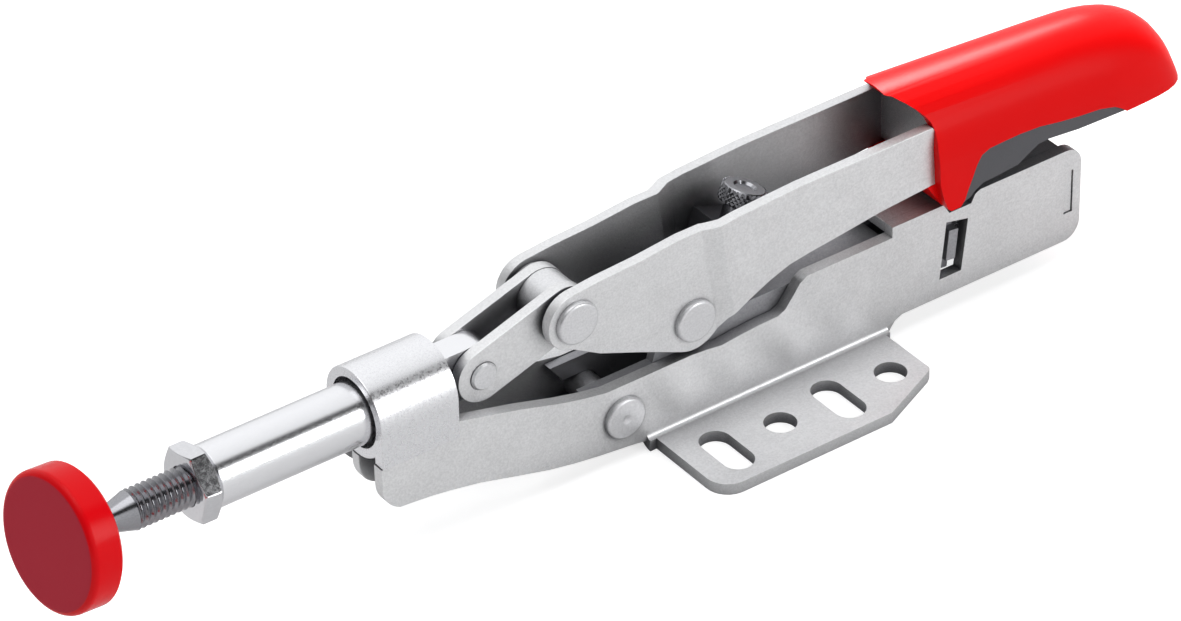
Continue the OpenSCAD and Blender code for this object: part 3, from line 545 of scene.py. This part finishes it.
half = 3.0
floor_mesh = bpy.data.meshes.new("floor")
floor_corners = [(-half, -half, 0), (half, -half, 0), (half, half, 0), (-half, half, 0)]
floor_mesh.from_pydata(floor_corners, [], [(0, 1, 2, 3)])
floor = bpy.data.objects.new("floor", floor_mesh)
bpy.context.collection.objects.link(floor)
floor_mesh.materials.append(white_floor())


# Studio: a white tent with a dark strip that gives the round parts their dark reflections. A weak
# soft lamp hangs above the clamp and another stands in front, and a small one behind lights only
# the grip, whose top shows it as a pale band.

def studio_world():
    """The white tent round the clamp: brightest above and behind it, dim at the pad's end, with
    one dark strip along the clamp, high in front, that the round parts mirror. The camera sees
    plain white."""
    strip_angle, strip_half, strip_fade, strip_light = math.radians(53), 0.14, 0.30, 0.02
    world = bpy.data.worlds.new("studio")
    bpy.context.scene.world = world
    world.use_nodes = True
    tree = world.node_tree
    tree.nodes.clear()
    output = add(tree, "ShaderNodeOutputWorld", {})
    way = add(tree, "ShaderNodeTexCoord", {}).outputs["Generated"]
    part = add(tree, "ShaderNodeSeparateXYZ", {}, {"Vector": way}).outputs
    rising = add(tree, "ShaderNodeMapRange",
                 {"From Min": 0.0, "From Max": 0.7, "To Min": 0.84, "To Max": 0.99},
                 {"Value": part["Z"]})
    behind = add(tree, "ShaderNodeMapRange",
                 {"From Min": -0.2, "From Max": 0.7, "To Min": 0.0, "To Max": 0.2},
                 {"Value": part["Y"]})
    sides = add(tree, "ShaderNodeMath", {"operation": "ADD"},
                {0: rising.outputs["Result"], 1: behind.outputs["Result"]})
    pad_end = add(tree, "ShaderNodeMapRange",
                  {"interpolation_type": "SMOOTHSTEP", "From Min": -0.95, "From Max": -0.1,
                   "To Min": 0.2, "To Max": 1.0}, {"Value": part["X"]})
    across = add(tree, "ShaderNodeVectorMath",
                 {"operation": "DOT_PRODUCT", 1: (0, math.sin(strip_angle), math.cos(strip_angle))},
                 {0: way})
    off = add(tree, "ShaderNodeMath", {"operation": "ABSOLUTE"}, {0: across.outputs["Value"]})
    beyond = add(tree, "ShaderNodeMapRange",
                 {"interpolation_type": "SMOOTHSTEP", "From Min": strip_half,
                  "From Max": strip_fade, "To Min": strip_light, "To Max": 1.0},
                 {"Value": off.outputs["Value"]})
    far_side = add(tree, "ShaderNodeMapRange", {"From Min": -0.1, "From Max": 0.1},
                   {"Value": part["Y"]})
    clear = add(tree, "ShaderNodeMath", {"operation": "MAXIMUM"},
                {0: beyond.outputs["Result"], 1: far_side.outputs["Result"]})
    dimmed = add(tree, "ShaderNodeMath", {"operation": "MULTIPLY"},
                 {0: sides.outputs["Value"], 1: pad_end.outputs["Result"]})
    power = add(tree, "ShaderNodeMath", {"operation": "MULTIPLY"},
                {0: dimmed.outputs["Value"], 1: clear.outputs["Value"]})
    tent = add(tree, "ShaderNodeBackground", {"Color": linear("#FDFEFF")},
               {"Strength": power.outputs["Value"]})
    white = add(tree, "ShaderNodeBackground", {"Color": linear("#FFFFFF"), "Strength": 1.0})
    ray = add(tree, "ShaderNodeLightPath", {})
    pick = add(tree, "ShaderNodeMixShader", {},
               {0: ray.outputs["Is Camera Ray"], 1: tent.outputs["Background"],
                2: white.outputs["Background"]})
    tree.links.new(pick.outputs["Shader"], output.inputs["Surface"])


def soft_lamp(name, place, target, size, power, only=None):
    """A square softbox at a place, turned towards a target, for every piece or for only one."""
    light = bpy.data.lights.new(name, "AREA")
    light.shape = "SQUARE"
    light.size = size
    light.energy = power
    lamp = bpy.data.objects.new(name, light)
    bpy.context.collection.objects.link(lamp)
    lamp.location = place
    lamp.rotation_euler = (Vector(target) - Vector(place)).to_track_quat("-Z", "Y").to_euler()
    if only:
        lit = bpy.data.collections.new(name + "_lights")
        lit.objects.link(only)
        lamp.light_linking.receiver_collection = lit


studio_world()
soft_lamp("key_softbox", place=(-0.25, 0.05, 0.85), target=(-0.03, 0, 0.02), size=0.6, power=1.4)
soft_lamp("grip_softbox", place=(0.50, 0.50, 0.66), target=(0.06, 0, 0.05), size=0.3, power=11.0,
          only=shell)
soft_lamp("front_softbox", place=(0.45, -0.85, 0.45), target=(0.02, 0, 0.02), size=0.5, power=3.6)


# Camera: the photograph's viewpoint, found by fitting a camera to the clamp's known sizes. The
# shift moves the clamp to its place in the photograph's frame.

azimuth, elevation, roll = math.radians(35.44), math.radians(35.14), math.radians(-1.21)
stand = (-0.5323, -0.6921, 0.6305)
photo_w, focal_px, shift_x_px, shift_y_px = 1181, 5500, -14.65, -16.53
back = Vector((-math.sin(azimuth) * math.cos(elevation), -math.cos(azimuth) * math.cos(elevation),
               math.sin(elevation)))
level = Vector((math.cos(azimuth), -math.sin(azimuth), 0))
upright = back.cross(level)
right = math.cos(roll) * level + math.sin(roll) * upright
up = -math.sin(roll) * level + math.cos(roll) * upright
view = bpy.data.cameras.new("camera")
view.sensor_width = 36.0
view.lens = view.sensor_width * focal_px / photo_w
view.shift_x = shift_x_px / photo_w
view.shift_y = shift_y_px / photo_w
view.clip_start = 0.01
camera = bpy.data.objects.new("camera", view)
bpy.context.collection.objects.link(camera)
facing = Matrix((right, up, back)).transposed().to_4x4()
camera.matrix_world = Matrix.Translation(stand) @ facing
bpy.context.scene.camera = camera
bpy.context.scene.view_settings.view_transform = "Standard"
